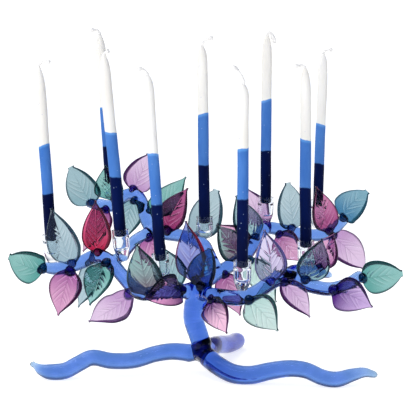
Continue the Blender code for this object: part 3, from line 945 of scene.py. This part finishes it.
def leaf_section(length, half_width, heavy_side, rounding, knob):
    """The leaf's skin before it is bent: across, along and lift of each place on each ring."""
    across, out, up, on_face = (row[None, :] for row in leaf_ring_template())
    knob_back = BLADE_START - 0.97 * knob
    blade = length - TIP_SHORT - BLADE_START
    y = np.concatenate([
        np.linspace(knob_back, BLADE_START, KNOB_STEPS + 1)[:-1],
        BLADE_START + blade * np.linspace(0, 1, LEAF_ALONG) ** 1.15,
    ])[:, None]
    t = np.clip((y - BLADE_START) / blade, 0, 1)
    in_blade = y >= BLADE_START
    ball = np.sqrt(np.clip(knob ** 2 - (y - BLADE_START) ** 2, 0.3, None))
    ball = ball * (y - BLADE_START < knob)
    outline = np.where(in_blade, smooth_table(LEAF_OUTLINE, t) ** rounding * half_width, 0)
    wide = (outline ** 3 + ball ** 3) ** (1 / 3)
    rim_size = np.where(across * heavy_side > 0, RIM_HEAVY, RIM_LIGHT)
    rim_size = np.minimum(rim_size * (1 - 0.35 * smooth_step(0.6, 1.0, t)), wide)
    x = across * (wide - rim_size) + out * rim_size
    near_rim = smooth_step(0.80, 1.0, np.abs(across))
    thick = LEAF_HALF + (rim_size - LEAF_HALF) * near_rim
    bulge = KNOB_BULGE * np.sqrt(np.clip(knob ** 2 - (y - BLADE_START) ** 2 - x ** 2, 0, None))
    thick = np.where(in_blade, thick, 0.05)
    lift = np.sign(up) * np.maximum(np.abs(up) * thick, bulge)
    return across, up, on_face, x, y, t, near_rim, lift


def rim_tint_and_shade(across, heavy_side):
    """How dark the rolled rim is coloured, 0 to 1: the tint of its thicker glass with painted shade
    along the edge, wider and darker on the heavy side.
    """
    heavy_edge = across * heavy_side > 0
    starts = np.where(heavy_edge, 0.84, 0.90)
    full = np.where(heavy_edge, 0.95, 1.0)
    return smooth_step(starts, full, np.abs(across)) * np.where(heavy_edge, 1.0, 0.8)


def knob_move(stem, way, tree_surface):
    """How a leaf's knob moves to sink a little into the nearest blue glass."""
    spot, normal = tree_surface.find_nearest(stem * MM)[:2]
    move = spot / MM - normal * KNOB_SINK - (stem + way * BLADE_START)
    return move if move.length <= KNOB_MOVE_MOST else Vector()


def build_leaf(name, stem, reach, face, looks, heavy, tree_surface, materials):
    """A pressed and drawn leaf of coloured glass, from its knob on the branch to its drawn tip."""
    glass_name, half_width, curl, sway = looks
    length = reach.length
    way = reach.normalized()
    side = way.cross(face).normalized()
    face = side.cross(way).normalized()
    heavy_side = 1 if side.dot(Vector(SIDES[heavy])) > 0 else -1
    chance = random.Random(name)
    rounding = ROUNDING if name in ROUND_LEAVES else 1.0
    knob = KNOB_LARGE if name in LARGE_KNOBS else KNOB_RADIUS
    section = leaf_section(length, half_width, heavy_side, rounding, knob)
    across, up, on_face, x, y, t, near_rim, lift = section
    y = np.broadcast_to(y, x.shape)
    blade = length - BLADE_START
    depth, groove_shade, painted_highlights = vein_field(x, y - BLADE_START - 1, blade, half_width, chance)
    from_knob = np.hypot(x, y - BLADE_START)
    pressed = (on_face * (up > 0)) * (1 - near_rim) * smooth_step(knob, knob + 2, from_knob)
    phase = pick(chance, 0, 6.28)
    ripple = np.sin(0.21 * y + 0.13 * x + phase) * np.sin(0.16 * x + 0.09 * y + 2 * phase)
    dish = LEAF_DISH * (x / half_width) ** 2 * (y > BLADE_START)
    lift = lift - VEIN_DEPTH * depth * pressed + dish + curl * t ** 2.2
    lift = lift + LEAF_RIPPLE * ripple * smooth_step(0.0, 0.3, t)
    x = x + sway * np.sin(math.pi * t)
    move = knob_move(stem, way, tree_surface)
    pull = smooth_step(KNOB_MOVE_FADES, BLADE_START, y)
    parts = ((way, y), (side, x), (face, lift), (move, pull))
    points = sum(np.array(step) * amount[:, :, None] for step, amount in parts) + np.array(stem)
    mesh = mesh_from("leaf_mesh_" + name, points.reshape(-1, 3), skin(*x.shape))
    # Rim: tint of thicker glass with painted shade; vein: painted shade in the grooves; ridges: painted
    # highlight.
    looks_of_parts = {
        "rim": rim_tint_and_shade(across, heavy_side),
        "vein": groove_shade * pressed,
        "painted_highlight": painted_highlights * pressed,
        "from_stem": t,
        "knob": smooth_step(knob + 1.6, knob - 0.6, from_knob),
    }
    for part, values in looks_of_parts.items():
        add_values(mesh, part, np.broadcast_to(values, x.shape))
    return new_object("glass_leaf_" + name, mesh, "root", materials[glass_name])


def build_leaves(frame, tree):
    """The leaves that have a CAD node, then the small ones behind them, which have none."""
    surface = BVHTree.FromPolygons(
        [vertex.co for vertex in tree.data.vertices],
        [face.vertices for face in tree.data.polygons],
    )
    glasses = {name: leaf_glass(name, *colours) for name, colours in GLASSES.items()}
    for name, (*looks, heavy) in LEAVES.items():
        stem, reach, face = leaf_frame(frame["nodes"]["leaf_" + name])
        leaf = build_leaf(name, stem, reach, face, looks, heavy, surface, glasses)
        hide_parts("leaf_" + name)
    for name, (stem, tip, half_width, glass_name) in BACK_LEAVES.items():
        stem = Vector(stem)
        reach = Vector(tip) - stem
        looks = (glass_name, half_width, 1, 0)
        build_leaf(name, stem, reach, Vector((0, -1, 0.1)), looks, "right", surface, glasses)


# ---------------------------------------------------------------- stage, light and camera

def build_floor():
    """A large plain white sheet with a soft glow of its own, like a light table."""
    mesh = bpy.data.meshes.new("floor")
    ends = (-FLOOR_HALF, FLOOR_HALF)
    corners = [(x, y, -FLOOR_DROP) for y in ends for x in ends]
    mesh.from_pydata(corners, [], [(0, 1, 3, 2)])
    floor = bpy.data.objects.new("floor", mesh)
    bpy.context.scene.collection.objects.link(floor)
    made = Nodes("floor_white")
    made.colour(made.mix(made.noise(3.0), (0.60, 0.60, 0.60), (0.62, 0.62, 0.62)))
    made.gloss(0.9, 0.0)
    made.shader.inputs["Emission Color"].default_value = (1.0, 1.0, 1.0, 1.0)
    made.shader.inputs["Emission Strength"].default_value = FLOOR_GLOW
    mesh.materials.append(made.material)


def world_ramp(tree, value, low, high, to_low, to_high):
    node = tree.nodes.new("ShaderNodeMapRange")
    set_ramp(node, low, high, to_low, to_high)
    tree.links.new(value, node.inputs["Value"])
    return node.outputs["Result"]


def world_math(tree, operation, first, second):
    node = tree.nodes.new("ShaderNodeMath")
    node.operation = operation
    tree.links.new(first, node.inputs[0])
    tree.links.new(second, node.inputs[1])
    return node.outputs["Value"]


def build_world():
    """Bright behind, darker at the sides and above, so that the glass shows dark edges.

    Straight past the object the view is plain and bright in every direction.
    """
    world = bpy.data.worlds.new("studio")
    bpy.context.scene.world = world
    world.use_nodes = True
    tree = world.node_tree
    way = tree.nodes.new("ShaderNodeTexCoord").outputs["Generated"]
    facing = tree.nodes.new("ShaderNodeVectorMath")
    facing.operation = "DOT_PRODUCT"
    facing.inputs[1].default_value = Vector(BACKDROP_WAY).normalized()
    tree.links.new(way, facing.inputs[0])
    height = tree.nodes.new("ShaderNodeSeparateXYZ")
    tree.links.new(way, height.inputs["Vector"])
    near_middle = world_ramp(tree, facing.outputs["Value"], *BACKDROP_EDGE, 0.0, 1.0)
    low_down = world_ramp(tree, height.outputs["Z"], *BACKDROP_TOP, 1.0, BACKDROP_LEFT_ABOVE)
    backdrop = world_math(tree, "MULTIPLY", near_middle, low_down)
    plain_view = tree.nodes.new("ShaderNodeLightPath").outputs["Is Camera Ray"]
    blend = tree.nodes.new("ShaderNodeMix")
    blend.data_type = "RGBA"
    for socket in blend.inputs:
        if socket.type == "RGBA":
            socket.default_value = WORLD_DARK if socket.name == "A" else WORLD_BRIGHT
    tree.links.new(world_math(tree, "MAXIMUM", backdrop, plain_view), blend.inputs["Factor"])
    result = [socket for socket in blend.outputs if socket.type == "RGBA"][0]
    tree.links.new(result, tree.nodes["Background"].inputs["Color"])


def add_softbox(name, place, target, size, power):
    """A rectangular light, turned to shine at its target."""
    data = bpy.data.lights.new(name, "AREA")
    data.shape = "RECTANGLE"
    data.size, data.size_y = size
    data.energy = power
    light = bpy.data.objects.new(name, data)
    bpy.context.scene.collection.objects.link(light)
    light.location = place
    way = Vector(target) - Vector(place)
    light.rotation_euler = way.to_track_quat("-Z", "Y").to_euler()
    return light


def build_studio_light():
    """A wide soft light from above, a softbox that gloss doesn't mirror, and an overhead strip."""
    above = bpy.data.lights.new("soft_top", "SUN")
    above.angle = math.radians(SUN_WIDTH)
    above.energy = SUN_POWER
    lamp = bpy.data.objects.new("soft_top", above)
    bpy.context.scene.collection.objects.link(lamp)
    lamp.rotation_euler = [math.radians(angle) for angle in SUN_TILT]
    front = add_softbox("front_softbox", *FRONT_SOFTBOX)
    front.visible_glossy = False
    add_softbox("strip_light", *STRIP_LIGHT)


def build_camera():
    data = bpy.data.cameras.new("camera")
    data.sensor_width = 36.0
    data.lens = CAMERA_LENS
    camera = bpy.data.objects.new("camera", data)
    bpy.context.scene.collection.objects.link(camera)
    camera.location = CAMERA_PLACE
    camera.rotation_euler = (math.radians(90 - CAMERA_DOWN), 0, 0)
    bpy.context.scene.camera = camera


def render_setup():
    """Plain colours, and enough light bounces for glass behind glass."""
    scene = bpy.context.scene
    scene.view_settings.view_transform = "Standard"
    scene.cycles.max_bounces = LIGHT_BOUNCES
    scene.cycles.transmission_bounces = LIGHT_BOUNCES
    scene.cycles.transparent_max_bounces = LIGHT_BOUNCES


def main():
    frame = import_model()
    build_camera()
    build_floor()
    build_world()
    build_studio_light()
    render_setup()
    tree = build_tree(blue_glass())
    build_lights(clear_glass(), candle_wax(), wick_cotton())
    build_leaves(frame, tree)


main()
